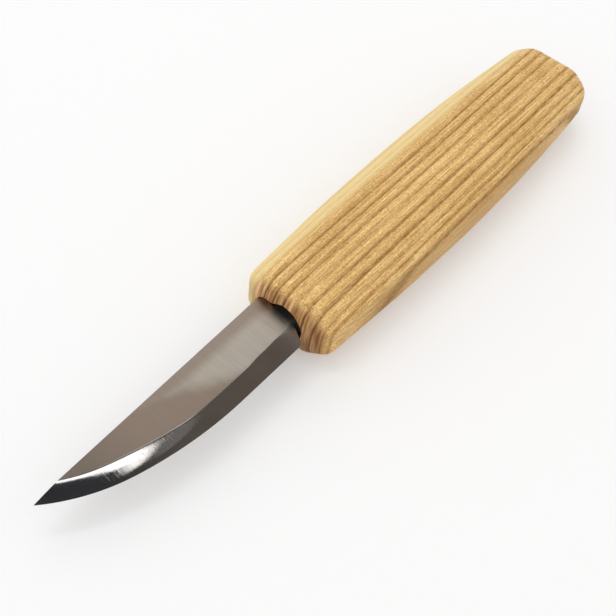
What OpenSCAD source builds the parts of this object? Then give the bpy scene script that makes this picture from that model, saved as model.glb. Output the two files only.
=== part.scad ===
// Wood carving knife with a glued stick tang and a barrel-shaped ash handle.
// Millimetres. +X runs along the handle to the butt, so the blade points to -X.
// The cutting edge faces -Y and +Z is up out of the blade's broad side.
// The origin is on the ground under the middle of the knife, which lies on its handle.

/* [Blade] */
// Length of the blade from the handle's front face to the tip
blade_len = 80; // [65:1:95]
// Width of the blade at the heel
blade_w = 18; // [15:0.5:20]
// Thickness of the steel
blade_t = 2.5; // [2:0.1:3.5]
// Width of the ground bevel, measured across the flat of the blade
bevel_w = 5.4; // [4:0.1:7]
// Thickness left at the cutting edge
edge_land = 0.1; // [0.05:0.05:0.3]
// Drop of the spine from the handle to the tip
spine_fall = 1.6; // [0.5:0.1:3]
// Radius of the first, gentle part of the belly
belly_r = 115; // [90:5:140]
// Sine of the angle that the edge has turned through where the belly tightens
belly_sin = 0.28; // [0.2:0.01:0.32]
// Radius of the last part of the belly, up to the tip
tip_r = 55; // [48:1:70]
// How far the edge's heel stands in front of the handle
heel_gap = 3; // [1.6:0.1:5]
// The same at the top of the bevel
knee_gap = 0; // [-0.6:0.1:1.5]
// How far the spine end of the blade's shoulder is let into the handle
shoulder_in = 1.2; // [0.2:0.1:2]
// Radius of the eased corner between the spine and the shoulder
spine_corner_r = 1.6; // [0.5:0.1:2.5]

/* [Tang] */
// Length of the tang inside the handle
tang_len = 70; // [45:1:85]
// Width of the tang where it leaves the blade
tang_root_w = 7.6; // [6:0.2:7.8]
// Width of the tang at its far end
tang_end_w = 5; // [4:0.2:6]
// Radius of the round notches that key the tang into the glue
notch_r = 1; // [0.6:0.1:1.4]

/* [Handle] */
// Length of the handle
handle_len = 135; // [110:1:150]
// Width across the front end
front_w = 28.6; // [25:0.2:32]
// Width at the widest place
mid_w = 34.2; // [30:0.2:38]
// Width across the butt
rear_w = 27.8; // [24:0.2:32]
// Distance of the widest place from the front end
widest_at = 66; // [50:1:80]
// Thickness at the front end
front_t = 19.6; // [17:0.2:21]
// Thickness over the flat middle of the top and the underside
mid_t = 21; // [19:0.2:25]
// Thickness at the butt
rear_t = 18.8; // [16:0.2:21]
// Where the plane middle of the top and the underside begins
flat_from = 22; // [12:1:30]
// Where the plane middle of the top and the underside ends
flat_to = 96; // [85:1:100]
// Share of the half-width that the long sloping facets take
facet_w = 0.43; // [0.3:0.01:0.5]
// Share of the half-thickness that the long sloping facets take
facet_t = 0.5; // [0.35:0.01:0.6]
// Rounding along the lines where the facets meet, at the front end
soft_front = 3; // [1:0.5:4]
// The same rounding over the middle of the handle
soft_mid = 5; // [2:0.5:6]
// The same rounding at the butt
soft_rear = 6.5; // [2:0.5:7]
// How far the rounding of the front end comes in from the sides
front_r = 5.4; // [2:0.2:6]
// How far the rounding of the front end runs along the handle
front_reach = 4.8; // [2:0.2:6]
// How far the rounding of the butt comes in from the sides
rear_r = 4.8; // [2:0.2:6]
// How far the rounding of the butt runs along the handle
rear_reach = 5.4; // [2:0.2:8]

/* [Socket] */
// Diameter of the hole drilled for the tang
bore_d = 10.4; // [10.4:0.2:12]
// Diameter of the wider mouth of the hole
mouth_d = 12.2; // [11.6:0.2:14]
// How far the mouth lies from the blade's middle towards the edge
mouth_aside = 0.2; // [0:0.1:1]
// Depth of the mouth
mouth_depth = 12; // [8:1:20]
// How far the hole runs on past the end of the tang
bore_spare = 5; // [1:1:15]
// Height of the blade above the middle of the handle
blade_lift = 1.2; // [0:0.1:1.5]
// How far the set glue stops short of the mouth of the hole
glue_recess = 3.6; // [2.2:0.1:6]
// Height of the shallow slot beside the mouth that takes the blade's shoulder
slot_h = 6.4; // [5:0.2:8]
// Room between the slot and the blade's shoulder
slot_room = 0.06; // [0.04:0.02:0.2]

/* [Hidden] */
$fn = 96;
// Facets along each rounded line of the handle
arc_n = 4;
// Steps round each rounded end of the handle
end_n = 5;
// Height of the spine and of the edge, with the blade near the handle's axis
spine_y = blade_w / 2 - 0.3;
edge_y = spine_y - blade_w;
// Middle of the blade's width, and of the mouth of the hole
mid_y = (spine_y + edge_y) / 2;
mouth_y = mid_y - mouth_aside;
belly_cos = sqrt(1 - belly_sin * belly_sin);
// Angle of the edge where it meets the spine at the tip
tip_rise = blade_w - spine_fall - belly_r * (1 - belly_cos);
tip_angle = acos(belly_cos - tip_rise / tip_r);
// Straight part of the edge, from the handle to the belly
straight_len = blade_len - belly_r * belly_sin - tip_r * (sin(tip_angle) - belly_sin);
// Reach of the wedges that part the two arcs of the grind
far = 2 * belly_r;
// Depth of the ground section, reaching just past the spine
grind_depth = blade_w + 1;
bore_depth = tang_len + bore_spare;
// The knife's middle and its lowest face
mid_x = (handle_len - blade_len) / 2;
rest_z = mid_t / 2;

// Cross-section of the ground steel as distance from the edge and height
module ground_section() {
    polygon([
        [0, -edge_land / 2],
        [bevel_w, -blade_t / 2],
        [grind_depth, -blade_t / 2],
        [grind_depth, blade_t / 2],
        [bevel_w, blade_t / 2],
        [0, edge_land / 2]
    ]);
}

// The same section swept round the whole circle that an arc of the edge belongs to
module ground_disc(r) {
    rotate_extrude($fn = 240)
        translate([r, 0])
            mirror([1, 0])
                ground_section();
}

// An upright wedge of space seen from above, deeper than the steel
module wedge(points) {
    linear_extrude(2 * blade_t, center = true)
        polygon(points);
}

// The bevels, drawn from the centre of the first arc: straight, belly and tip
module grind() {
    turn = [-belly_sin, -belly_cos];
    translate([0, -belly_r, 0])
        rotate([90, 0, 90])
            linear_extrude(straight_len + tang_len + 1)
                ground_section();
    intersection() {
        ground_disc(belly_r);
        wedge([[0, 0], [0, -far], far * turn]);
    }
    intersection() {
        translate([(belly_r - tip_r) * turn[0], (belly_r - tip_r) * turn[1], 0])
            ground_disc(tip_r);
        wedge([[0, 0], far * turn, [-far, -belly_r], [-far, 0]]);
    }
}

// Outline of the tang, with a pair of round notches near each end
module tang_outline() {
    difference() {
        polygon([
            [-2, -tang_root_w / 2],
            [tang_len, -tang_end_w / 2],
            [tang_len, tang_end_w / 2],
            [-2, tang_root_w / 2]
        ]);
        for (at = [0.35, 0.75], side = [-1, 1])
            translate([at * tang_len, side * (tang_root_w + (tang_end_w - tang_root_w) * at) / 2])
                circle(notch_r, $fn = 48);
    }
}

// Outline of the blank: the spine and the slanted shoulder, with room left at the edge
module blade_outline() {
    fall = spine_fall / blade_len;
    difference() {
        polygon([
            [-blade_len - 4, spine_y - fall * (blade_len + 4)],
            [-blade_len - 4, edge_y - 1],
            [-heel_gap - 0.5, edge_y - 1],
            [-heel_gap, edge_y],
            [-knee_gap, edge_y + 0.3 * blade_w],
            [shoulder_in, spine_y]
        ]);
        translate([shoulder_in - spine_corner_r, spine_y - spine_corner_r])
            difference() {
                square(spine_corner_r + 1);
                circle(spine_corner_r);
            }
    }
}

// Half-width of the handle at a distance from its front end
function half_w(x) = x < widest_at
    ? (mid_w - (mid_w - front_w) * pow(1 - x / widest_at, 2)) / 2
    : (mid_w - (mid_w - rear_w) * pow((x - widest_at) / (handle_len - widest_at), 2)) / 2;

// Half-thickness of the handle, constant over the plane middle
function half_t(x) = x < flat_from
    ? (mid_t - (mid_t - front_t) * pow(1 - x / flat_from, 2)) / 2
    : x > flat_to
    ? (mid_t - (mid_t - rear_t) * pow((x - flat_to) / (handle_len - flat_to), 2)) / 2
    : mid_t / 2;

// Smooth step from 0 at low to 1 at high
function ease(value, low, high) =
    let (share = min(max((value - low) / (high - low), 0), 1))
    share * share * (3 - 2 * share);

// Rounding of the facets' meeting lines at a distance from the front end
function soft_r(x) = soft_front
    + (soft_mid - soft_front) * ease(x, 0, flat_from)
    + (soft_rear - soft_mid) * ease(x, flat_to - flat_from, handle_len);

// One quarter of the section, a softened octagon, from the side up to the top
function quarter(w, t, soft) =
    let (r = min(soft, 0.6 * t),
         phi = atan2(facet_w * w, facet_t * t),
         reach = cos(phi) * w + sin(phi) * (1 - facet_t) * t - r,
         side_y = w - r,
         side_z = (reach - cos(phi) * side_y) / sin(phi),
         top_z = t - r,
         top_y = (reach - sin(phi) * top_z) / cos(phi))
    concat(
        [for (i = [0:arc_n]) let (a = phi * i / arc_n)
            [side_y + r * cos(a), side_z + r * sin(a)]],
        [for (i = [0:arc_n]) let (a = phi + (90 - phi) * i / arc_n)
            [top_y + r * cos(a), top_z + r * sin(a)]]);

// The whole ring of points, anticlockwise seen from the butt
function ring(x, inset) =
    let (q = quarter(half_w(x) - inset, half_t(x) - inset, soft_r(x)), n = len(q) - 1)
    concat(
        [for (i = [0:n]) [x, q[i][0], q[i][1]]],
        [for (i = [n:-1:0]) [x, -q[i][0], q[i][1]]],
        [for (i = [0:n]) [x, -q[i][0], -q[i][1]]],
        [for (i = [n:-1:0]) [x, q[i][0], -q[i][1]]]);

// Stations along the handle, each with its inset where an end is rounded
stations = concat(
    [for (i = [0:end_n]) let (a = 90 * i / end_n)
        [front_reach * (1 - cos(a)), front_r * (1 - sin(a))]],
    [for (i = [1:4]) [front_reach + (flat_from - front_reach) * i / 4, 0]],
    [for (i = [1:13]) [flat_from + (flat_to - flat_from) * i / 13, 0]],
    [for (i = [1:7]) [flat_to + (handle_len - rear_reach - flat_to) * i / 7, 0]],
    [for (i = [1:end_n]) let (a = 90 * i / end_n)
        [handle_len - rear_reach * (1 - sin(a)), rear_r * (1 - cos(a))]]);

// The shaped bar of wood, lofted through the stations
module barrel() {
    rows = len(stations);
    n = 8 * (arc_n + 1);
    polyhedron(
        points = [for (s = stations) each ring(s[0], s[1])],
        faces = concat(
            [[for (j = [0:n - 1]) j]],
            [for (i = [0:rows - 2], j = [0:n - 1]) let (k = (j + 1) % n)
                [i * n + j, (i + 1) * n + k, i * n + k]],
            [for (i = [0:rows - 2], j = [0:n - 1]) let (k = (j + 1) % n)
                [i * n + j, (i + 1) * n + j, (i + 1) * n + k]],
            [[for (j = [n - 1:-1:0]) (rows - 1) * n + j]]),
        convexity = 4);
}

// Puts a piece drawn from the handle's front end into the knife's own frame
module place() {
    translate([-mid_x, 0, rest_z])
        children();
}

// Blade and tang ground from one plate of steel
module blade() {
    color("silver")
        place()
            translate([0, 0, blade_lift])
                intersection() {
                    translate([-straight_len, edge_y + belly_r, 0])
                        grind();
                    linear_extrude(2 * blade_t, center = true)
                        union() {
                            blade_outline();
                            tang_outline();
                        }
                }
}

// Room inside the handle from a distance behind its front end: the hole and its wider mouth
module bore(from) {
    translate([from, 0, 0])
        rotate([0, 90, 0])
            cylinder(h = bore_depth - from, d = bore_d);
    translate([from, mouth_y, 0])
        rotate([0, 90, 0])
            cylinder(h = mouth_depth - from, d = mouth_d);
}

// Shallow slot with a round end beside the mouth, for the blade's shoulder at the spine
module slot() {
    end_y = spine_y + slot_room - sqrt(pow(slot_h / 2, 2) - pow(blade_t / 2, 2));
    depth = shoulder_in + slot_room;
    translate([-1, mouth_y, blade_lift - slot_h / 2])
        cube([depth + 1, end_y - mouth_y, slot_h]);
    translate([-1, end_y, blade_lift])
        rotate([0, 90, 0])
            cylinder(h = depth + 1, d = slot_h);
}

// One-piece wooden handle with a blind hole for the tang
module handle() {
    color("burlywood")
        place()
            difference() {
                barrel();
                bore(-1);
                slot();
            }
}

// Set glue that fills the hole round the tang
module glue_bed() {
    color("saddlebrown")
        place()
            difference() {
                bore(glue_recess);
                translate([0, 0, blade_lift])
                    linear_extrude(blade_t, center = true)
                        tang_outline();
            }
}

blade();
handle();
glue_bed();
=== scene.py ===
import math

import bmesh
import bpy
from mathutils import Matrix, Vector, noise


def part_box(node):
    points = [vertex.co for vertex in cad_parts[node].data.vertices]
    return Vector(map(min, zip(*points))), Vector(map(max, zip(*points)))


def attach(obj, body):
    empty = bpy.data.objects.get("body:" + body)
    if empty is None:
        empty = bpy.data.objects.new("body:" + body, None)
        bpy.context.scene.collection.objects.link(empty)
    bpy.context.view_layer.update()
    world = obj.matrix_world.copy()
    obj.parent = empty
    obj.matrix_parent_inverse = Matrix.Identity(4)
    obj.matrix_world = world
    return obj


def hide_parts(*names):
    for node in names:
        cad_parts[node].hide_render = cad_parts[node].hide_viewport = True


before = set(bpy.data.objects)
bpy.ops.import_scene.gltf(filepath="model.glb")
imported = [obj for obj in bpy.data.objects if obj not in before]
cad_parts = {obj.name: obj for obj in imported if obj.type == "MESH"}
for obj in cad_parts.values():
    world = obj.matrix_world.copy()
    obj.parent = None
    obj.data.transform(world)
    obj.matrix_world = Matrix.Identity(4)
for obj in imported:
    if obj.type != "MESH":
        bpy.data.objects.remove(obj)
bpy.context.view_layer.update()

MM = 0.001

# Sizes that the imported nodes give, in metres
handle_lo, handle_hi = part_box("handle")
blade_lo, blade_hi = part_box("blade")
glue_lo, glue_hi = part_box("glue_bed")
FRONT_X = handle_lo.x
HANDLE_LEN = handle_hi.x - handle_lo.x
MID_W = handle_hi.y - handle_lo.y
MID_T = handle_hi.z - handle_lo.z
AXIS_Z = (handle_lo.z + handle_hi.z) / 2
BLADE_LEN = FRONT_X - blade_lo.x
BLADE_T = blade_hi.z - blade_lo.z
BLADE_Z = (blade_lo.z + blade_hi.z) / 2
SPINE_Y = blade_hi.y
EDGE_Y = blade_lo.y
BLADE_W = SPINE_Y - EDGE_Y
TANG_LEN = blade_hi.x - FRONT_X
MOUTH_R = (glue_hi.z - glue_lo.z) / 2
MOUTH_Y = (glue_lo.y + glue_hi.y) / 2
BORE_DEPTH = glue_hi.x - FRONT_X

# Handle, measured from its front end
FRONT_W = 28.6 * MM
REAR_W = 27.8 * MM
WIDEST_AT = 66 * MM
FRONT_T = 19.6 * MM
REAR_T = 18.8 * MM
FLAT_FROM = 22 * MM
FLAT_TO = 96 * MM
FACET_W = 0.43
FACET_T = 0.5
SOFT_FRONT = 3 * MM
SOFT_MID = 5 * MM
SOFT_REAR = 6.5 * MM
SOFT_MOST = 0.6
FRONT_R = 5.4 * MM
FRONT_REACH = 4.8 * MM
REAR_R = 4.8 * MM
REAR_REACH = 5.4 * MM
BORE_R = 5.2 * MM
MOUTH_DEPTH = 12 * MM
SLOT_H = 6.4 * MM
SLOT_ROOM = 0.06 * MM
RIM_R = 0.35 * MM
RIM_SEGMENTS = 3
HAND_WAVER = 0.07 * MM
WAVER_PER_MM = 0.06
RIM_RAGGED = 0.12 * MM
RAGGED_DEPTH = MOUTH_R / 2
RIM_WAVES = 3.1
RIM_ANGLE = math.radians(50)
RIM_FACING = 0.7

# Blade, measured from the handle's front end
SPINE_FALL = 1.6 * MM
BELLY_R = 115 * MM
BELLY_TURN = math.asin(0.28)
TIP_R = 55 * MM
HEEL_GAP = 3 * MM
KNEE_GAP = 0 * MM
KNEE_Y = EDGE_Y + 0.3 * BLADE_W
SHOULDER_IN = 1.2 * MM
CORNER_R = 1.6 * MM
TANG_ROOT_IN = 0.5 * MM
TANG_LOWER_ROOT = 3 * MM
EDGE_LAND = 0.05 * MM
GRIND_CROWN = 0.085 * MM
SHOULDER_SOFT = 0.1 * MM
FLAT_WITHIN = SHOULDER_SOFT / 3
TANG_ROOT_HALF = 3.7 * MM
TANG_END_HALF = 2.5 * MM
NOTCH_R = 1 * MM
NOTCHES_AT = (0.35, 0.75)
# Width of the bevel at places along the blade, in millimetres from the handle
BEVEL_WIDTHS = (
    (0, 6.0), (5, 5.75), (14, 5.45), (19, 5.05), (30, 5.05), (38, 4.9), (60, 5.6), (72, 5.1), (82, 4.8),
)
# Rows across the bevel, as shares of its width; the last one lies on the flat
ROW_SHARES = (0, 0.03, 0.1, 0.2, 0.35, 0.5, 0.65, 0.8, 0.9, 0.95, 1.0, 1.05, 1.1)

# Steps of the meshes
ARC_STEPS = 8
SIDE_STEPS = 3
FACET_STEPS = 4
TOP_STEPS = 5
END_STEPS = 9
BODY_STEPS = 64
RIM_STEPS = 96
EDGE_STEPS = 14
SMOOTH_ANGLE = math.radians(28)
WELD = 0.02 * MM
SEARCH_STEPS = 50
SEARCH_PAST = 0.05

# Camera of the picture, with its target measured from the handle's front end
IMAGE_PX = 616
FOCAL_PX = 1133.1
SENSOR = 36
CAMERA_AZIMUTH = math.radians(-56.72)
CAMERA_ELEVATION = math.radians(52.91)
CAMERA_ROLL = math.radians(8.11)
CAMERA_DISTANCE = 303.4 * MM
CLIP_START = 10 * MM
TARGET = Vector((FRONT_X + 8.15 * MM, -2.29 * MM, AXIS_Z + 0.07 * MM))


def srgb(red, green, blue):
    """Scene colour for a display colour given in 0 to 255."""
    def linear(value):
        share = value / 255
        if share <= 0.04045:
            return share / 12.92
        return ((share + 0.055) / 1.055) ** 2.4
    return (linear(red), linear(green), linear(blue), 1.0)


def grey(value):
    """Neutral scene colour of one brightness."""
    return (value, value, value, 1.0)


def spread(start, end, steps):
    """Points on the way from start to end, with the end left out."""
    return [start.lerp(end, i / steps) for i in range(steps)]


def arc(centre, radius, start, end, steps):
    """Points along an arc, with both ends."""
    turns = [start + (end - start) * i / steps for i in range(steps + 1)]
    return [centre + radius * Vector((math.cos(a), math.sin(a))) for a in turns]


def new_piece(name, build):
    """Object made from a bmesh."""
    mesh = bpy.data.meshes.new(name)
    bmesh.ops.recalc_face_normals(build, faces=build.faces)
    build.to_mesh(mesh)
    build.free()
    piece = bpy.data.objects.new(name, mesh)
    bpy.context.scene.collection.objects.link(piece)
    return piece


def smooth(piece):
    """Smooth shading that keeps the hard edges."""
    mesh = piece.data
    mesh.polygons.foreach_set("use_smooth", [True] * len(mesh.polygons))
    mesh.set_sharp_from_angle(angle=SMOOTH_ANGLE)


def apply_modifiers(piece):
    """Replaces a piece's mesh by what its modifiers make of it."""
    graph = bpy.context.evaluated_depsgraph_get()
    piece.data = bpy.data.meshes.new_from_object(piece.evaluated_get(graph))
    piece.modifiers.clear()


def weld(piece):
    """Joins points that cuts have left almost on each other, and drops the slivers between them."""
    build = bmesh.new()
    build.from_mesh(piece.data)
    bmesh.ops.remove_doubles(build, verts=build.verts, dist=WELD)
    bmesh.ops.dissolve_degenerate(build, edges=build.edges, dist=WELD)
    build.to_mesh(piece.data)
    build.free()


def ease(value, low, high):
    """Smooth step from 0 at low to 1 at high."""
    share = min(max((value - low) / (high - low), 0), 1)
    return share * share * (3 - 2 * share)


# Handle


def half_width(x):
    """Half-width of the barrel at a distance from its front end."""
    if x < WIDEST_AT:
        return (MID_W - (MID_W - FRONT_W) * (1 - x / WIDEST_AT) ** 2) / 2
    away = (x - WIDEST_AT) / (HANDLE_LEN - WIDEST_AT)
    return (MID_W - (MID_W - REAR_W) * away ** 2) / 2


def half_thickness(x):
    """Half-thickness of the barrel, constant over its plane middle."""
    if x < FLAT_FROM:
        return (MID_T - (MID_T - FRONT_T) * (1 - x / FLAT_FROM) ** 2) / 2
    away = max(x - FLAT_TO, 0) / (HANDLE_LEN - FLAT_TO)
    return (MID_T - (MID_T - REAR_T) * away ** 2) / 2


def soft_radius(x):
    """Rounding along the lines where the facets meet, largest at the butt."""
    soft = SOFT_FRONT + (SOFT_MID - SOFT_FRONT) * ease(x, 0, FLAT_FROM)
    return soft + (SOFT_REAR - SOFT_MID) * ease(x, FLAT_TO - FLAT_FROM, HANDLE_LEN)


def quarter_section(w, t, soft):
    """Softened quarter of an octagon, from the middle of the side to the middle of the top."""
    soft = min(soft, SOFT_MOST * t)
    phi = math.atan2(FACET_W * w, FACET_T * t)
    reach = math.cos(phi) * w + math.sin(phi) * (1 - FACET_T) * t - soft
    side_y = w - soft
    side = Vector((side_y, (reach - math.cos(phi) * side_y) / math.sin(phi)))
    top_z = t - soft
    top = Vector(((reach - math.sin(phi) * top_z) / math.cos(phi), top_z))
    low = arc(side, soft, 0, phi, ARC_STEPS)
    high = arc(top, soft, phi, math.pi / 2, ARC_STEPS)
    points = spread(Vector((w, 0)), low[0], SIDE_STEPS)
    points += low[:-1]
    points += spread(low[-1], high[0], FACET_STEPS)
    points += high[:-1]
    points += spread(high[-1], Vector((0, t)), TOP_STEPS)
    return points + [Vector((0, t))]


def wavered(point):
    """The point moved in or out a little, as a hand-finished surface is."""
    where = point / MM * WAVER_PER_MM
    out = Vector((0, point.y, point.z)).normalized()
    return point + out * noise.noise(where) * HAND_WAVER


def section_ring(x, inset):
    """Ring of points round the handle at one station."""
    quarter = quarter_section(half_width(x) - inset, half_thickness(x) - inset, soft_radius(x))
    back = list(reversed(quarter))
    flat = [Vector((p.x, p.y)) for p in quarter[:-1]]
    flat += [Vector((-p.x, p.y)) for p in back[:-1]]
    flat += [Vector((-p.x, -p.y)) for p in quarter[:-1]]
    flat += [Vector((p.x, -p.y)) for p in back[:-1]]
    return [wavered(Vector((x, p.x, p.y))) for p in flat]


def handle_stations():
    """Distances from the front end, each with the inset of a rounded end."""
    stations = []
    for i in range(END_STEPS + 1):
        a = math.pi / 2 * i / END_STEPS
        stations.append((FRONT_REACH * (1 - math.cos(a)), FRONT_R * (1 - math.sin(a))))
    body = HANDLE_LEN - FRONT_REACH - REAR_REACH
    for i in range(1, BODY_STEPS + 1):
        stations.append((FRONT_REACH + body * i / BODY_STEPS, 0))
    for i in range(1, END_STEPS + 1):
        a = math.pi / 2 * i / END_STEPS
        stations.append((HANDLE_LEN - REAR_REACH * (1 - math.sin(a)), REAR_R * (1 - math.cos(a))))
    return stations


def loft(build, rings):
    """Skins closed rings of points and closes both ends."""
    rows = [[build.verts.new(p) for p in ring] for ring in rings]
    count = len(rows[0])
    for near, far in zip(rows, rows[1:]):
        for j in range(count):
            k = (j + 1) % count
            build.faces.new((near[j], near[k], far[k], far[j]))
    build.faces.new(list(reversed(rows[0])))
    build.faces.new(rows[-1])


def hole_ring(x, middle, apart, radius, ragged):
    """Ring of a drilled room, its two halves set apart, and a little uneven where the fibres tore."""
    ring = []
    for i in range(RIM_STEPS):
        a = 2 * math.pi * (i + 0.5) / RIM_STEPS
        way = Vector((0, math.cos(a), math.sin(a)))
        aside = Vector((x, middle.x + math.copysign(apart, way.y), middle.y))
        ring.append(aside + way * (radius + ragged * noise.noise(way * RIM_WAVES)))
    return ring


def bore_cutter():
    """The hole and its wider mouth, as a solid to cut with."""
    mouth = Vector((MOUTH_Y, 0))
    axis = Vector((0, 0))
    rings = [hole_ring(x, mouth, 0, MOUTH_R, RIM_RAGGED) for x in (-MOUTH_R, RAGGED_DEPTH)]
    rings.append(hole_ring(MOUTH_DEPTH, mouth, 0, MOUTH_R, 0))
    rings += [hole_ring(x, axis, 0, BORE_R, 0) for x in (MOUTH_DEPTH, BORE_DEPTH)]
    build = bmesh.new()
    loft(build, rings)
    return build


def slot_cutter():
    """The shallow slot that takes the blade's shoulder at the spine, as a solid to cut with."""
    radius = SLOT_H / 2
    end_y = SPINE_Y + SLOT_ROOM - math.sqrt(radius ** 2 - (BLADE_T / 2) ** 2)
    middle = Vector(((MOUTH_Y + end_y) / 2, BLADE_Z - AXIS_Z))
    apart = (end_y - MOUTH_Y) / 2
    depth = SHOULDER_IN + SLOT_ROOM
    build = bmesh.new()
    loft(build, [hole_ring(x, middle, apart, radius, 0) for x in (-MOUTH_R, depth)])
    return build


def cut_with(piece, name, cutter_build):
    """Cuts a solid out of a piece through a modifier, and returns the cutter."""
    cutter = new_piece(name, cutter_build)
    cut = piece.modifiers.new(name, "BOOLEAN")
    cut.object = cutter
    cut.operation = "DIFFERENCE"
    cut.solver = "EXACT"
    return cutter


def hole_wall(face):
    """Whether a face of the handle is a wall of the hole, which takes the painted shade of the hole."""
    if face.center.x > FRONT_X + BORE_DEPTH:
        return False
    across = Vector((face.center.y - MOUTH_Y, face.center.z - AXIS_Z)).length
    return across < MOUTH_R + RIM_RAGGED and face.normal.x > -RIM_FACING


def make_handle():
    """Barrel handle of one piece of wood, with its blind hole."""
    at_front = Matrix.Translation((FRONT_X, 0, AXIS_Z))
    build = bmesh.new()
    loft(build, [section_ring(x, inset) for x, inset in handle_stations()])
    build.transform(at_front)
    piece = new_piece("ash_handle", build)
    room = bore_cutter()
    room.transform(at_front)
    cutters = [cut_with(piece, "bore", room)]
    rim = piece.modifiers.new("rim", "BEVEL")
    rim.width = RIM_R
    rim.segments = RIM_SEGMENTS
    rim.limit_method = "ANGLE"
    rim.angle_limit = RIM_ANGLE
    slot = slot_cutter()
    slot.transform(at_front)
    cutters.append(cut_with(piece, "slot", slot))
    apply_modifiers(piece)
    for cutter in cutters:
        bpy.data.objects.remove(cutter)
    weld(piece)
    piece.data.materials.clear()
    # Walls of the hole take the second material, a painted shade
    for face in piece.data.polygons:
        face.material_index = 1 if hole_wall(face) else 0
    smooth(piece)
    return piece


# Blade

FALL = SPINE_FALL / BLADE_LEN
TIP_RISE = BLADE_W - SPINE_FALL - BELLY_R * (1 - math.cos(BELLY_TURN))
TIP_TURN = math.acos(math.cos(BELLY_TURN) - TIP_RISE / TIP_R)
STRAIGHT = BLADE_LEN - (BELLY_R - TIP_R) * math.sin(BELLY_TURN) - TIP_R * math.sin(TIP_TURN)
BELLY_CENTRE = Vector((-STRAIGHT, EDGE_Y + BELLY_R))
BELLY_END = Vector((math.sin(BELLY_TURN), math.cos(BELLY_TURN)))
TIP_CENTRE = BELLY_CENTRE - BELLY_END * (BELLY_R - TIP_R)


def arc_station(turn):
    """Point of the curved edge and the direction into the blade, for the angle it has turned."""
    inward = Vector((math.sin(turn), math.cos(turn)))
    if turn <= BELLY_TURN:
        return BELLY_CENTRE - inward * BELLY_R, inward
    return TIP_CENTRE - inward * TIP_R, inward


def bevel_width(x):
    """Width of the bevel at a place along the blade."""
    away = -x / MM
    for (x0, w0), (x1, w1) in zip(BEVEL_WIDTHS, BEVEL_WIDTHS[1:]):
        if away <= x1:
            return (w0 + (w1 - w0) * ease(away, x0, x1)) * MM
    return BEVEL_WIDTHS[-1][1] * MM


def room_to_spine(turn):
    """Distance from the curved edge to the spine, straight into the blade."""
    edge, inward = arc_station(turn)
    return (SPINE_Y + FALL * edge.x - edge.y) / (inward.y - FALL * inward.x)


def turn_for_share(share):
    """Angle at which a row of the bevel runs out into the spine."""
    low, high = BELLY_TURN, TIP_TURN + SEARCH_PAST
    for _ in range(SEARCH_STEPS):
        middle = (low + high) / 2
        edge, _inward = arc_station(middle)
        if room_to_spine(middle) > share * bevel_width(edge.x):
            low = middle
        else:
            high = middle
    return low


def half_steel(share):
    """Half-thickness of the steel at a share of the bevel, with a soft shoulder."""
    flat = BLADE_T / 2
    ground = EDGE_LAND + (flat - EDGE_LAND) * share
    if share < 1:
        ground += GRIND_CROWN * 4 * share * (1 - share)
    near = max(SHOULDER_SOFT - abs(ground - flat), 0) / SHOULDER_SOFT
    return min(ground, flat) - near * near * SHOULDER_SOFT / 4


def heel_x(y):
    """Slanted end of the blade towards the handle, at a height across the blade."""
    if y < KNEE_Y:
        return -HEEL_GAP + (HEEL_GAP - KNEE_GAP) * (y - EDGE_Y) / (KNEE_Y - EDGE_Y)
    return -KNEE_GAP + (SHOULDER_IN + KNEE_GAP) * (y - KNEE_Y) / (SPINE_Y - KNEE_Y)


def full_columns():
    """Columns of points from the edge to the flat, from the heel to where the spine cuts in."""
    columns = []
    ys = [EDGE_Y + share * bevel_width(0) for share in ROW_SHARES]
    columns.append([Vector((heel_x(y), y)) for y in ys])
    stations = []
    for i in range(1, EDGE_STEPS + 1):
        x = -HEEL_GAP - (STRAIGHT - HEEL_GAP) * i / EDGE_STEPS
        stations.append((Vector((x, EDGE_Y)), Vector((0, 1))))
    runs_out = turn_for_share(ROW_SHARES[-1])
    for low, high in ((0, BELLY_TURN), (BELLY_TURN, runs_out)):
        for i in range(1, EDGE_STEPS + 1):
            stations.append(arc_station(low + (high - low) * i / EDGE_STEPS))
    for edge, inward in stations:
        width = bevel_width(edge.x)
        columns.append([edge + inward * width * share for share in ROW_SHARES])
    return columns


def tip_columns():
    """Shorter and shorter columns, one where each row meets the spine, down to the tip."""
    columns = []
    for top in range(len(ROW_SHARES) - 2, -1, -1):
        edge, inward = arc_station(turn_for_share(ROW_SHARES[top]))
        width = bevel_width(edge.x)
        columns.append([edge + inward * width * share for share in ROW_SHARES[:top + 1]])
    return columns


def tang_edge(root, side):
    """Points along one edge of the tang, from a root to its end."""
    def half(x):
        return TANG_ROOT_HALF + (TANG_END_HALF - TANG_ROOT_HALF) * x / TANG_LEN
    points = [Vector((root, half(root)))]
    for share in NOTCHES_AT:
        x = share * TANG_LEN
        points += arc(Vector((x, half(x))), NOTCH_R, -math.pi, 0, ARC_STEPS)
    points.append(Vector((TANG_LEN, TANG_END_HALF)))
    return [Vector((p.x, side * p.y)) for p in points]


def outline_behind_bevel():
    """Outline of the flat from the spine back round the shoulder and the tang."""
    corner = Vector((SHOULDER_IN - CORNER_R, SPINE_Y - CORNER_R))
    points = []
    for p in reversed(arc(corner, CORNER_R, 0, math.pi / 2, ARC_STEPS)):
        points.append(Vector((min(p.x, heel_x(p.y)), p.y)))
    root_y = TANG_ROOT_HALF + TANG_ROOT_IN
    points.append(Vector((heel_x(root_y), root_y)))
    points += tang_edge(heel_x(root_y) + TANG_ROOT_IN, 1)
    points += list(reversed(tang_edge(TANG_LOWER_ROOT, -1)))
    return points


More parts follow.
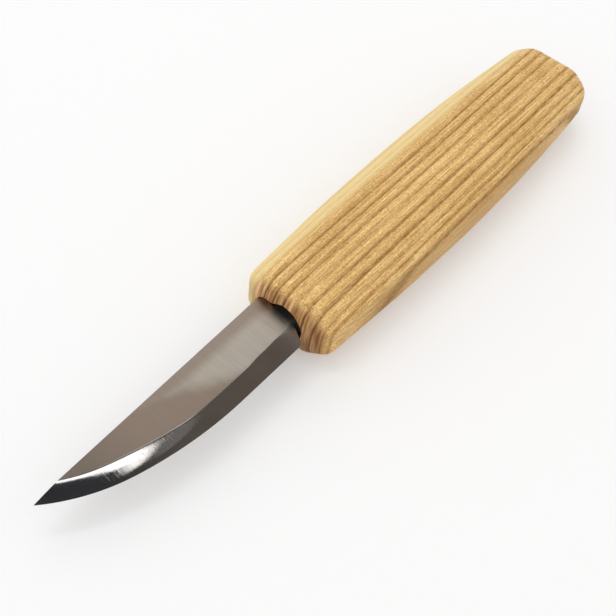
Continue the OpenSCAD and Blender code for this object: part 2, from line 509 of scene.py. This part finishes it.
def sheet_faces(build):
    """Faces of the blade's upper side, bevel rows first and then the flat. Returns the flat."""
    columns = full_columns()
    ends = tip_columns()
    rows = []
    for column in columns + ends:
        row = []
        for p, share in zip(column, ROW_SHARES):
            row.append(build.verts.new((p.x, p.y, half_steel(share))))
        rows.append(row)
    for near, far in zip(rows, rows[1:]):
        for j in range(len(far) - 1):
            build.faces.new((near[j], far[j], far[j + 1], near[j + 1]))
        if len(near) > len(far):
            build.faces.new((near[len(far) - 1], far[-1], near[-1]))
    flat = [row[-1] for row in rows[:len(columns)]]
    for p in outline_behind_bevel():
        flat.append(build.verts.new((p.x, p.y, BLADE_T / 2)))
    return build.faces.new(flat)


def make_blade():
    """Blade and tang from one plate of steel, with a bevel ground on both sides."""
    build = bmesh.new()
    flat = sheet_faces(build)
    for face in build.faces:
        on_flat = face is flat or all(v.co.z > BLADE_T / 2 - FLAT_WITHIN for v in face.verts)
        face.material_index = 0 if on_flat else 1
    top_edges = [edge for edge in build.edges if edge.is_boundary]
    copy = bmesh.ops.duplicate(build, geom=list(build.verts) + list(build.edges) + list(build.faces))
    partner = copy["vert_map"]
    for item in copy["geom"]:
        if isinstance(item, bmesh.types.BMVert):
            item.co.z = -item.co.z
    for edge in top_edges:
        a, b = edge.verts
        build.faces.new((a, b, partner[b], partner[a]))
    build.transform(Matrix.Translation((FRONT_X, 0, BLADE_Z)))
    piece = new_piece("carving_blade", build)
    smooth(piece)
    return piece


# Materials

# Sockets of a colour mix node
MIX_FACTOR = 0
MIX_A = 6
MIX_B = 7
MIX_RESULT = 2


class Graph:
    """Node tree of a material, with short calls that add a node and wire it."""

    def __init__(self, name):
        self.material = bpy.data.materials.new(name)
        self.material.use_nodes = True
        self.tree = self.material.node_tree
        self.shader = self.tree.nodes["Principled BSDF"]

    def add(self, kind, **settings):
        node = self.tree.nodes.new(kind)
        for name, value in settings.items():
            setattr(node, name, value)
        return node

    def wire(self, value, socket):
        if isinstance(value, bpy.types.NodeSocket):
            self.tree.links.new(value, socket)
        else:
            socket.default_value = value

    def set(self, name, value):
        self.wire(value, self.shader.inputs[name])

    def place(self):
        """Position on the object, in millimetres."""
        source = self.add("ShaderNodeTexCoord").outputs["Object"]
        return self.stretch(source, (1 / MM, 1 / MM, 1 / MM))

    def normal(self):
        return self.add("ShaderNodeTexCoord").outputs["Normal"]

    def stretch(self, vector, factors):
        node = self.add("ShaderNodeVectorMath", operation="MULTIPLY")
        self.wire(vector, node.inputs[0])
        self.wire(factors, node.inputs[1])
        return node.outputs[0]

    def split(self, vector):
        node = self.add("ShaderNodeSeparateXYZ")
        self.wire(vector, node.inputs[0])
        return node.outputs

    def math(self, operation, a, b=0.0, c=0.0):
        node = self.add("ShaderNodeMath", operation=operation)
        for value, socket in zip((a, b, c), node.inputs):
            self.wire(value, socket)
        return node.outputs[0]

    def noise(self, vector, factors, detail=2.0, roughness=0.5):
        """Noise from 0 to 1, with so many waves in a millimetre along each axis."""
        node = self.add("ShaderNodeTexNoise")
        self.wire(self.stretch(vector, factors), node.inputs["Vector"])
        node.inputs["Scale"].default_value = 1.0
        node.inputs["Detail"].default_value = detail
        node.inputs["Roughness"].default_value = roughness
        return node.outputs["Fac"]

    def span(self, value, low, high, out_low=0.0, out_high=1.0):
        """Value taken smoothly from one range to another, and held at its ends."""
        node = self.add("ShaderNodeMapRange", interpolation_type="SMOOTHSTEP")
        self.wire(value, node.inputs["Value"])
        node.inputs["From Min"].default_value = low
        node.inputs["From Max"].default_value = high
        node.inputs["To Min"].default_value = out_low
        node.inputs["To Max"].default_value = out_high
        return node.outputs["Result"]

    def curve(self, value, points):
        """Value through straight lines between points, all from 0 to 1."""
        node = self.add("ShaderNodeFloatCurve")
        line = node.mapping.curves[0]
        while len(line.points) < len(points):
            line.points.new(0.5, 0.5)
        for point, where in zip(line.points, points):
            point.location = where
            point.handle_type = "VECTOR"
        node.mapping.update()
        self.wire(value, node.inputs["Value"])
        return node.outputs["Value"]

    def ramp(self, value, stops):
        """Colour that runs through stops of place and colour."""
        stops = list(stops)
        node = self.add("ShaderNodeValToRGB")
        elements = node.color_ramp.elements
        while len(elements) < len(stops):
            elements.new(1.0)
        for element, (where, colour) in zip(elements, stops):
            element.position = where
            element.color = colour
        self.wire(value, node.inputs["Fac"])
        return node.outputs["Color"]

    def blend(self, factor, a, b):
        node = self.add("ShaderNodeMix", data_type="RGBA")
        self.wire(factor, node.inputs[MIX_FACTOR])
        self.wire(a, node.inputs[MIX_A])
        self.wire(b, node.inputs[MIX_B])
        return node.outputs[MIX_RESULT]

    def bump(self, height, distance, strength):
        node = self.add("ShaderNodeBump")
        node.inputs["Distance"].default_value = distance
        node.inputs["Strength"].default_value = strength
        self.wire(height, node.inputs["Height"])
        return node.outputs["Normal"]


# The handle's front end, in the millimetres that materials count in
FRONT_MM = FRONT_X / MM
# Middle of a noise, and the range in which it mostly lies
NOISE_MEAN = 0.5
NOISE_RANGE = (0.3, 0.7)

# Where the dark growth lines cross the handle, in millimetres from its middle, and how dark each is
RING_LINES = (
    (-19.5, 0.7), (-16.8, 0.9), (-14.7, 0.8), (-13.0, 0.6), (-10.3, 1.0), (-6.75, 0.9), (-3.1, 0.52),
    (0.2, 0.85), (3.35, 0.9), (6.3, 0.95), (9.2, 0.2), (12.0, 0.2), (14.6, 0.18), (17.6, 0.5), (20.5, 0.5),
)
# Darkness between one line and the next, from one side to the other
RING_PROFILE = (
    (0.0, 1.0), (0.06, 0.92), (0.12, 0.66), (0.2, 0.48), (0.3, 0.3), (0.42, 0.12), (0.55, 0.04),
    (0.78, 0.0), (0.86, 0.1), (0.92, 0.5), (0.96, 0.88), (1.0, 1.0),
)
# The lines run straight at this distance from the front end, and bend by taper and drift over this length
RING_STRAIGHT_AT = 30.0
RING_BEND_OVER = 100.0
RING_TAPER = 0.042
RING_DRIFT = 1.04
# How far the rings lean across for each millimetre up
RING_TILT = 0.06
# How far the lines sway, how ragged they are, in millimetres, and how dark they make the wood
RING_SWAY = 0.9
RING_RAGGED = 0.4
RING_DARKEN = 0.95
# Waves in a millimetre along, across and up the handle
SWAY_WAVES = (0.011, 0.05, 0.05)
RAGGED_WAVES = (0.09, 1.1, 1.1)
FIBRE_WAVES = (0.06, 2.6, 2.6)
MOTTLE_WAVES = (1.6, 2.4, 2.4)
RIPPLE_WAVES = (2.6, 0.9, 0.9)
PATCH_WAVES = (0.02, 0.1, 0.1)
PORE_WAVES = (0.4, 3.0, 3.0)
END_WAVES = (0.05, 0.9, 0.06)
BORE_WAVES = (0.3, 1.6, 1.6)
# Shares of the waves in the wood's tone, and the tones of its dark, middle and light colour
TONE_FIBRES = 1.75
TONE_MOTTLE = 1.15
TONE_RIPPLE = 0.4
TONE_PATCHES = 0.45
TONE_STOPS = (0.1, 0.5, 0.9)
# How the pores break up the lines, and the flecks that they leave
PORE_RANGE = (0.35, 0.65)
PORE_BREAK = (0.6, 1.15)
FLECK_RANGE = (0.58, 0.75)
FLECK_DARK = 0.25
# Pale sapwood along one side, made paler still as painted light on the side that faces the lamps, and
# painted shade along the other side:
# where each begins and is full across the handle, in millimetres from its middle, and how much of it shows
PALE_LIT_ACROSS = (8.0, 12.0)
PALE_LIT_MOST = 0.85
SIDE_SHADE_ACROSS = (-16.4, -15.2)
SIDE_SHADE_MOST = 0.45
# End grain: how far a face turns to the end, its streaks, its lines, its pale side with painted light, and
# its dark side with painted shade
END_FACING = (0.55, 0.9)
END_STOPS = (0.33, 0.5, 0.65)
END_LINE_RANGE = (0.3, 0.9)
END_LINE_MOST = 0.8
END_PALE_LIT = 0.75
END_SHADE_ACROSS = (-11.0, -4.0)
END_SHADE_MOST = 0.42
# Roughness from dark to light wood, what a fleck adds, and depth and strength of the relief
WOOD_ROUGH = (0.52, 0.44)
FLECK_ROUGH = 0.16
WOOD_SPECULAR = 0.3
RELIEF_FIBRES = 0.35
RELIEF_FLECKS = -0.65
WOOD_BUMP = (0.1 * MM, 0.5)
BORE_RANGE = (0.4, 0.7)
BORE_ROUGH = (0.75, 0.9)
BORE_SPECULAR = 0.2
BORE_BUMP = (0.2 * MM, 0.6)
WOOD_LIGHT = srgb(255, 221, 153)
WOOD_MIDDLE = srgb(227, 183, 114)
WOOD_SHADE = srgb(181, 136, 72)
WOOD_LINE = srgb(146, 100, 40)
# Pale sapwood colour, made paler still as painted light
WOOD_PALE_LIT = srgb(247, 221, 154)
WOOD_END_LIGHT = srgb(238, 191, 136)
WOOD_END = srgb(182, 134, 82)
WOOD_END_SHADE = srgb(124, 76, 30)
WOOD_END_LINE = srgb(92, 54, 18)
# Near-black painted shade for the walls of the hole, and a lighter fleck of it
BORE_PAINTED_SHADE = srgb(26, 20, 16)
BORE_PAINTED_SHADE_FLECK = srgb(40, 30, 22)


def ring_place(g, place):
    """Place across the growth rings, in millimetres, with the sway of real wood."""
    x, y, z = g.split(place)
    sway = g.noise(place, SWAY_WAVES, detail=1.0)
    ragged = g.noise(place, RAGGED_WAVES, detail=4.0, roughness=0.6)
    straight_at = FRONT_MM + RING_STRAIGHT_AT
    along = g.math("MULTIPLY_ADD", x, 1 / RING_BEND_OVER, -straight_at / RING_BEND_OVER)
    bend = g.math("MULTIPLY", along, g.math("ABSOLUTE", along))
    taper = g.math("MULTIPLY_ADD", bend, RING_TAPER, 1.0)
    across = g.math("MULTIPLY", y, taper)
    across = g.math("MULTIPLY_ADD", bend, -RING_DRIFT, across)
    across = g.math("MULTIPLY_ADD", z, RING_TILT, across)
    across = g.math("MULTIPLY_ADD", sway, RING_SWAY, across)
    across = g.math("MULTIPLY_ADD", ragged, RING_RAGGED, across)
    top = (AXIS_Z + MID_T / 2) / MM
    return g.math("SUBTRACT", across, NOISE_MEAN * (RING_SWAY + RING_RAGGED) + RING_TILT * top)


def ring_darkness(g, across):
    """Darkness of the growth lines, from 0 to 1."""
    low = RING_LINES[0][0]
    reach = RING_LINES[-1][0] - low
    last = len(RING_LINES) - 1
    share = g.math("MULTIPLY_ADD", across, 1 / reach, -low / reach)
    places = [((line - low) / reach, i / last) for i, (line, _dark) in enumerate(RING_LINES)]
    counted = g.curve(share, places)
    ring = g.math("MULTIPLY", counted, float(last))
    phase = g.curve(g.math("FRACT", ring), RING_PROFILE)
    depth = g.curve(counted, [(i / last, dark) for i, (_line, dark) in enumerate(RING_LINES)])
    return g.math("MULTIPLY", phase, depth)


def ash_tone(g, place):
    """Fine light and dark of the wood between the lines, about 0 to 1, and its fibres."""
    fibres = g.noise(place, FIBRE_WAVES, detail=4.0, roughness=0.65)
    mottle = g.noise(place, MOTTLE_WAVES, detail=2.0, roughness=0.6)
    ripple = g.noise(place, RIPPLE_WAVES, detail=2.0)
    patches = g.noise(place, PATCH_WAVES)
    shares = TONE_FIBRES + TONE_MOTTLE + TONE_RIPPLE + TONE_PATCHES
    tone = g.math("MULTIPLY_ADD", fibres, TONE_FIBRES, NOISE_MEAN - NOISE_MEAN * shares)
    tone = g.math("MULTIPLY_ADD", mottle, TONE_MOTTLE, tone)
    tone = g.math("MULTIPLY_ADD", ripple, TONE_RIPPLE, tone)
    return g.math("MULTIPLY_ADD", patches, TONE_PATCHES, tone), fibres


def end_grain_colour(g, place, lines, pale_lit_side):
    """Colour of wood cut across its fibres, streaked and with darker lines, paler on one side with painted
    light and darker on the other with painted shade.
    """
    streaks = g.noise(place, END_WAVES, detail=3.0, roughness=0.7)
    colour = g.ramp(streaks, zip(END_STOPS, (WOOD_END_SHADE, WOOD_END, WOOD_END_LIGHT)))
    colour = g.blend(g.math("MULTIPLY", pale_lit_side, END_PALE_LIT), colour, WOOD_PALE_LIT)
    # Painted shade on the lower side of the front face
    shaded_end_side = g.span(g.split(place)[1], *END_SHADE_ACROSS, END_SHADE_MOST, 0.0)
    colour = g.blend(shaded_end_side, colour, WOOD_END_SHADE)
    return g.blend(g.span(lines, *END_LINE_RANGE, 0.0, END_LINE_MOST), colour, WOOD_END_LINE)


def ash_wood():
    """Pale ash with dark porous growth lines, sanded and thinly oiled."""
    g = Graph("ash_wood")
    place = g.place()
    lines = ring_darkness(g, ring_place(g, place))
    pores = g.noise(place, PORE_WAVES, detail=3.0, roughness=0.6)
    tone, fibres = ash_tone(g, place)
    broken = g.math("MULTIPLY", lines, g.span(pores, *PORE_RANGE, *PORE_BREAK))
    flecks = g.math("MULTIPLY_ADD", g.span(pores, *FLECK_RANGE), FLECK_DARK, broken)
    across = g.split(place)[1]
    # Paler towards one side: sapwood, and painted light on that side
    pale_lit_side = g.span(across, *PALE_LIT_ACROSS, 0.0, PALE_LIT_MOST)
    # Darker towards the other side: painted shade along that side
    shaded_side = g.span(across, *SIDE_SHADE_ACROSS, SIDE_SHADE_MOST, 0.0)
    colour = g.ramp(tone, zip(TONE_STOPS, (WOOD_SHADE, WOOD_MIDDLE, WOOD_LIGHT)))
    colour = g.blend(pale_lit_side, colour, WOOD_PALE_LIT)
    colour = g.blend(shaded_side, colour, WOOD_SHADE)
    colour = g.blend(g.math("MULTIPLY", flecks, RING_DARKEN), colour, WOOD_LINE)
    facing = g.math("ABSOLUTE", g.split(g.normal())[0])
    end_colour = end_grain_colour(g, place, lines, pale_lit_side)
    g.set("Base Color", g.blend(g.span(facing, *END_FACING), colour, end_colour))
    rough = g.span(tone, TONE_STOPS[0], TONE_STOPS[-1], *WOOD_ROUGH)
    g.set("Roughness", g.math("MULTIPLY_ADD", flecks, FLECK_ROUGH, rough))
    g.set("Specular IOR Level", WOOD_SPECULAR)
    relief = g.math("MULTIPLY_ADD", fibres, RELIEF_FIBRES, g.math("MULTIPLY", flecks, RELIEF_FLECKS))
    g.set("Normal", g.bump(relief, *WOOD_BUMP))
    return g.material


def shaded_bore_wood():
    """Wall of the drilled hole, painted near-black as the shade deep inside it."""
    g = Graph("painted_shade_bore")
    place = g.place()
    fibres = g.noise(place, BORE_WAVES, detail=3.0)
    g.set("Base Color", g.blend(g.span(fibres, *BORE_RANGE), BORE_PAINTED_SHADE, BORE_PAINTED_SHADE_FLECK))
    g.set("Roughness", g.span(fibres, *NOISE_RANGE, *BORE_ROUGH))
    g.set("Specular IOR Level", BORE_SPECULAR)
    g.set("Normal", g.bump(fibres, *BORE_BUMP))
    return g.material


STEEL_FLAT = srgb(206, 199, 187)
# Painted darker reflection on the flat
STEEL_PAINTED_REFLECTION = srgb(170, 153, 140)
# Painted darker reflection towards the tip
STEEL_TIP_SHADE = srgb(146, 135, 123)
STEEL_STREAK = srgb(150, 141, 131)
STEEL_BEVEL = srgb(187, 185, 184)
STEEL_SMUDGED = srgb(179, 175, 171)
# Waves in a millimetre along, across and up the blade
PAINTED_REFLECTION_WAVES = (0.08, 0.12, 0.12)
BRUSH_WAVES = (3.5, 0.12, 0.12)
GRAIN_WAVES = (2.2, 2.2, 2.2)
STREAK_WAVES = (1.1, 0.1, 0.1)
SCRATCH_WAVES = (5.5, 0.2, 0.2)
GRIND_WAVES = (0.35, 0.2, 0.2)
SMUDGE_WAVES = (0.12, 0.2, 0.2)
HAIR_WAVES = (2.4, 0.14, 0.14)
# Where the painted darker reflection on the flat begins along the blade, with its slant, and across it
# towards the spine, in millimetres from the knife's middle, and how far its border strays
PAINTED_REFLECTION_ALONG = (50.0, 62.0)
PAINTED_REFLECTION_SLANT = 1.9
PAINTED_REFLECTION_STRAY_ALONG = 10.0
PAINTED_REFLECTION_ACROSS = (2.6, 6.4)
PAINTED_REFLECTION_STRAY_ACROSS = 2.0
PAINTED_REFLECTION_SPINE_MOST = 0.8
# Where the flat darkens towards the tip as painted darker reflection, in millimetres from the handle
TIP_SHADE_ALONG = (48.0, 70.0)
# Flat: how strong its streaks are, its roughness and relief
STREAK_RANGE = (0.35, 0.7)
STREAK_MOST = 0.16
FLAT_ROUGH = (0.33, 0.38)
BRUSH_ROUGH = 0.06
GRAIN_RELIEF = 0.3
FLAT_BUMP = (0.004 * MM, 0.2)
# Bevel: its smudges and hairlines, its roughness and relief
SMUDGE_RANGE = (0.3, 0.75)
HAIR_RANGE = (0.54, 0.68)
HAIR_RELIEF = 0.5
BEVEL_ROUGH = (0.025, 0.05)
SCRATCH_ROUGH = 0.03
BEVEL_BUMP = (0.01 * MM, 0.3)
# Where the polish runs out towards the heel, in millimetres from the handle, and how much it dulls
BEVEL_DULL_FROM = 9.0
BEVEL_DULL = 0.26


def painted_reflection_on_flat(g, place):
    """Painted darker reflection on the outer half of the flat and along the spine, from 0 to 1, and its
    patches.
    """
    x, y, _z = g.split(place)
    patches = g.noise(place, PAINTED_REFLECTION_WAVES, detail=3.0)
    slanted = g.math("MULTIPLY_ADD", y, -PAINTED_REFLECTION_SLANT, g.math("MULTIPLY", x, -1.0))
    slanted = g.math("MULTIPLY_ADD", patches, PAINTED_REFLECTION_STRAY_ALONG, slanted)
    outer = g.span(slanted, *[edge + NOISE_MEAN * PAINTED_REFLECTION_STRAY_ALONG for edge in PAINTED_REFLECTION_ALONG])
    strayed = g.math("MULTIPLY_ADD", patches, PAINTED_REFLECTION_STRAY_ACROSS, y)
    spine_edges = [edge + NOISE_MEAN * PAINTED_REFLECTION_STRAY_ACROSS for edge in PAINTED_REFLECTION_ACROSS]
    spine = g.span(strayed, *spine_edges, 0.0, PAINTED_REFLECTION_SPINE_MOST)
    return g.math("MAXIMUM", outer, spine), patches


def satin_steel():
    """Flat of the blade: satin steel, brushed across and lightly smudged."""
    g = Graph("satin_steel")
    place = g.place()
    brush = g.noise(place, BRUSH_WAVES, detail=3.0, roughness=0.65)
    grain = g.noise(place, GRAIN_WAVES, detail=3.0)
    streaks = g.noise(place, STREAK_WAVES, detail=3.0, roughness=0.6)
    painted_reflection, smudge = painted_reflection_on_flat(g, place)
    # Painted darker reflection over the outer half of the flat and along the spine
    colour = g.blend(painted_reflection, STEEL_FLAT, STEEL_PAINTED_REFLECTION)
    # Painted darker reflection towards the tip
    shade_from, shade_full = [FRONT_MM - away for away in TIP_SHADE_ALONG]
    tip = g.span(g.split(place)[0], shade_full, shade_from, 1.0, 0.0)
    colour = g.blend(tip, colour, STEEL_TIP_SHADE)
    colour = g.blend(g.span(streaks, *STREAK_RANGE, 0.0, STREAK_MOST), colour, STEEL_STREAK)
    g.set("Metallic", 1.0)
    g.set("Base Color", colour)
    rough = g.span(smudge, *NOISE_RANGE, *FLAT_ROUGH)
    g.set("Roughness", g.math("MULTIPLY_ADD", brush, BRUSH_ROUGH, rough))
    relief = g.math("MULTIPLY_ADD", grain, GRAIN_RELIEF, brush)
    g.set("Normal", g.bump(relief, *FLAT_BUMP))
    return g.material


def polished_steel():
    """Bevel of the blade: finely ground and polished, with hairlines across it, duller at the heel."""
    g = Graph("polished_steel")
    place = g.place()
    scratch = g.noise(place, SCRATCH_WAVES, detail=4.0, roughness=0.7)
    ripple = g.noise(place, GRIND_WAVES, detail=2.0)
    smudge = g.noise(place, SMUDGE_WAVES, detail=3.0)
    hairs = g.span(g.noise(place, HAIR_WAVES, detail=2.0), *HAIR_RANGE)
    g.set("Metallic", 1.0)
    g.set("Base Color", g.blend(g.span(smudge, *SMUDGE_RANGE), STEEL_BEVEL, STEEL_SMUDGED))
    rough = g.span(smudge, *NOISE_RANGE, *BEVEL_ROUGH)
    rough = g.math("MULTIPLY_ADD", scratch, SCRATCH_ROUGH, rough)
    heel = g.span(g.split(place)[0], FRONT_MM - BEVEL_DULL_FROM, FRONT_MM, 0.0, BEVEL_DULL)
    g.set("Roughness", g.math("ADD", rough, heel))
    relief = g.math("MULTIPLY_ADD", hairs, HAIR_RELIEF, g.math("ADD", ripple, scratch))
    g.set("Normal", g.bump(relief, *BEVEL_BUMP))
    return g.material


# Dark resin, made near-black as painted shade deep in the hole
GLUE_DARK_SHADE = srgb(24, 18, 14)
GLUE_DUSTY_SHADE = srgb(44, 33, 24)
LUMP_WAVES = (0.5, 0.5, 0.5)
DUST_WAVES = (3.0, 3.0, 3.0)
DUST_RANGE = (0.5, 0.8)
GLUE_ROUGH = (0.45, 0.65)
GLUE_BUMP = (0.4 * MM, 0.6)


def set_glue():
    """Cured resin round the tang, dark of its own and made near-black as painted shade deep in the hole.
    """
    g = Graph("set_glue")
    place = g.place()
    lumps = g.noise(place, LUMP_WAVES, detail=2.0)
    dust = g.noise(place, DUST_WAVES, detail=3.0)
    g.set("Base Color", g.blend(g.span(dust, *DUST_RANGE), GLUE_DARK_SHADE, GLUE_DUSTY_SHADE))
    g.set("Roughness", g.span(dust, *NOISE_RANGE, *GLUE_ROUGH))
    g.set("Normal", g.bump(lumps, *GLUE_BUMP))
    return g.material


# Stage, light and camera

FLOOR_SIZE = 12.0
FLOOR_DROP = 0.05 * MM
FLOOR_COLOUR = srgb(228, 229, 231)
FLOOR_TOOTH = srgb(227, 227, 227)
FLOOR_ROUGH = 0.9
FLOOR_SPECULAR = 0.1
TOOTH_WAVES = (0.9, 0.9, 0.9)
# Glow of the paper near the knife and far from it, and the distances between, in millimetres
FLOOR_GLOW = (0.23, 0.6)
FLOOR_REACH = (350.0, 1800.0)
# Panels: name, shape, middle in metres, turn about the vertical and lean from level in degrees, length and
# depth in metres, watts, and whether polished steel shows them. The large ones light the knife, and the
# small ones make the reflection along its bevel.
PANELS = (
    ("fill_panel", "RECTANGLE", (0.0, -0.2, 1.45), 0, 0, 2.4, 2.4, 11.5, False),
    ("key_panel", "RECTANGLE", (-0.04, 0.30, 1.25), -41, 0, 0.9, 0.22, 0.8, False),
    ("strip_panel", "RECTANGLE", (-0.1059, 0.2762, 1.01), -41, 0, 0.683, 0.133, 0.642, True),
    ("end_panel", "ELLIPSE", (0.1241, 0.002, 0.93), -25.6, 0, 0.0569, 0.156, 0.0489, True),
    ("dim_panel", "ELLIPSE", (0.2017, -0.0267, 0.95), -25.6, 0, 0.1313, 0.1876, 0.0073, True),
    ("line_panel", "RECTANGLE", (0.233, 0.205, 0.97), -41, 0, 0.2, 0.08, 0.034, True),
    ("far_panel", "RECTANGLE", (0.453, 0.598, 0.9), -37, 40, 1.0, 0.55, 0.85, True),
)
# Brightness of the surroundings by height, from the horizon to the zenith
SKY = (
    (0.0, grey(0.97)),
    (0.6, grey(0.85)),
    (0.76, srgb(160, 156, 151)),
    (0.88, srgb(119, 109, 100)),
    (0.95, srgb(110, 104, 98)),
    (0.985, srgb(74, 75, 78)),
    (1.0, srgb(66, 68, 72)),
)


def seen_directly(g):
    """1 for rays that come from the camera, a mirror or glass, and 0 for light that falls on things."""
    path = g.add("ShaderNodeLightPath").outputs
    seen = g.math("ADD", path["Is Camera Ray"], path["Is Glossy Ray"])
    return g.math("ADD", seen, path["Is Transmission Ray"])


def white_floor():
    """Plain pale paper with a faint tooth, which glows a little to the eye so that it shows as white."""
    g = Graph("pale_paper")
    place = g.place()
    tooth = g.noise(place, TOOTH_WAVES, detail=3.0)
    g.set("Base Color", g.blend(g.span(tooth, *NOISE_RANGE), FLOOR_COLOUR, FLOOR_TOOTH))
    g.set("Roughness", FLOOR_ROUGH)
    g.set("Specular IOR Level", FLOOR_SPECULAR)
    away = g.add("ShaderNodeVectorMath", operation="LENGTH")
    g.wire(place, away.inputs[0])
    glow = g.span(away.outputs["Value"], *FLOOR_REACH, *FLOOR_GLOW)
    g.set("Emission Color", grey(1.0))
    g.set("Emission Strength", g.math("MULTIPLY", seen_directly(g), glow))
    return g.material


def make_floor():
    build = bmesh.new()
    bmesh.ops.create_grid(build, x_segments=1, y_segments=1, size=FLOOR_SIZE / 2)
    build.transform(Matrix.Translation((0, 0, -FLOOR_DROP)))
    floor = new_piece("floor", build)
    floor.data.materials.append(white_floor())


def make_panel(name, shape, middle, turn, lean, length, depth, watts, shown):
    """Soft lamp above the knife, a rectangle or an ellipse, level or leaning."""
    lamp = bpy.data.lights.new(name, "AREA")
    lamp.shape = shape
    lamp.size = length
    lamp.size_y = depth
    lamp.energy = watts
    holder = bpy.data.objects.new(name, lamp)
    holder.location = middle
    holder.rotation_euler = (math.radians(-lean), 0, math.radians(turn))
    holder.visible_glossy = shown
    bpy.context.scene.collection.objects.link(holder)


def make_world():
    world = bpy.data.worlds.new("studio")
    world.use_nodes = True
    bpy.context.scene.world = world
    tree = world.node_tree
    source = tree.nodes.new("ShaderNodeTexCoord")
    parts = tree.nodes.new("ShaderNodeSeparateXYZ")
    ramp = tree.nodes.new("ShaderNodeValToRGB")
    tree.links.new(source.outputs["Generated"], parts.inputs[0])
    tree.links.new(parts.outputs["Z"], ramp.inputs["Fac"])
    stops = ramp.color_ramp.elements
    while len(stops) < len(SKY):
        stops.new(1.0)
    for stop, (height, colour) in zip(stops, SKY):
        stop.position = height
        stop.color = colour
    tree.links.new(ramp.outputs["Color"], tree.nodes["Background"].inputs["Color"])


def make_camera():
    """Camera at the picture's place, turned about its own axis by the roll."""
    flat = math.cos(CAMERA_ELEVATION)
    back = Vector((
        math.sin(CAMERA_AZIMUTH) * flat,
        -math.cos(CAMERA_AZIMUTH) * flat,
        math.sin(CAMERA_ELEVATION),
    ))
    right = Vector((0, 0, 1)).cross(back).normalized()
    up = back.cross(right)
    turned_right = right * math.cos(CAMERA_ROLL) + up * math.sin(CAMERA_ROLL)
    turned_up = up * math.cos(CAMERA_ROLL) - right * math.sin(CAMERA_ROLL)
    lens = bpy.data.cameras.new("camera")
    lens.sensor_width = SENSOR
    lens.lens = FOCAL_PX / IMAGE_PX * SENSOR
    lens.clip_start = CLIP_START
    camera = bpy.data.objects.new("camera", lens)
    turn = Matrix((turned_right, turned_up, back)).transposed().to_4x4()
    camera.matrix_world = Matrix.Translation(TARGET + back * CAMERA_DISTANCE) @ turn
    bpy.context.scene.collection.objects.link(camera)
    bpy.context.scene.camera = camera


def dress(piece, node, slot, *materials):
    """Lets a piece stand for a CAD node, with its finish."""
    for material in materials:
        piece.data.materials.append(material)
    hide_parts(node)
    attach(piece, "root")


make_camera()
make_world()
for panel in PANELS:
    make_panel(*panel)
make_floor()

handle = make_handle()
dress(handle, "handle", "handle_ash", ash_wood(), shaded_bore_wood())
blade = make_blade()
dress(blade, "blade", "blade_steel", satin_steel(), polished_steel())
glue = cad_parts["glue_bed"]
glue.data.materials.clear()
glue.data.materials.append(set_glue())

bpy.context.scene.view_settings.view_transform = "Standard"
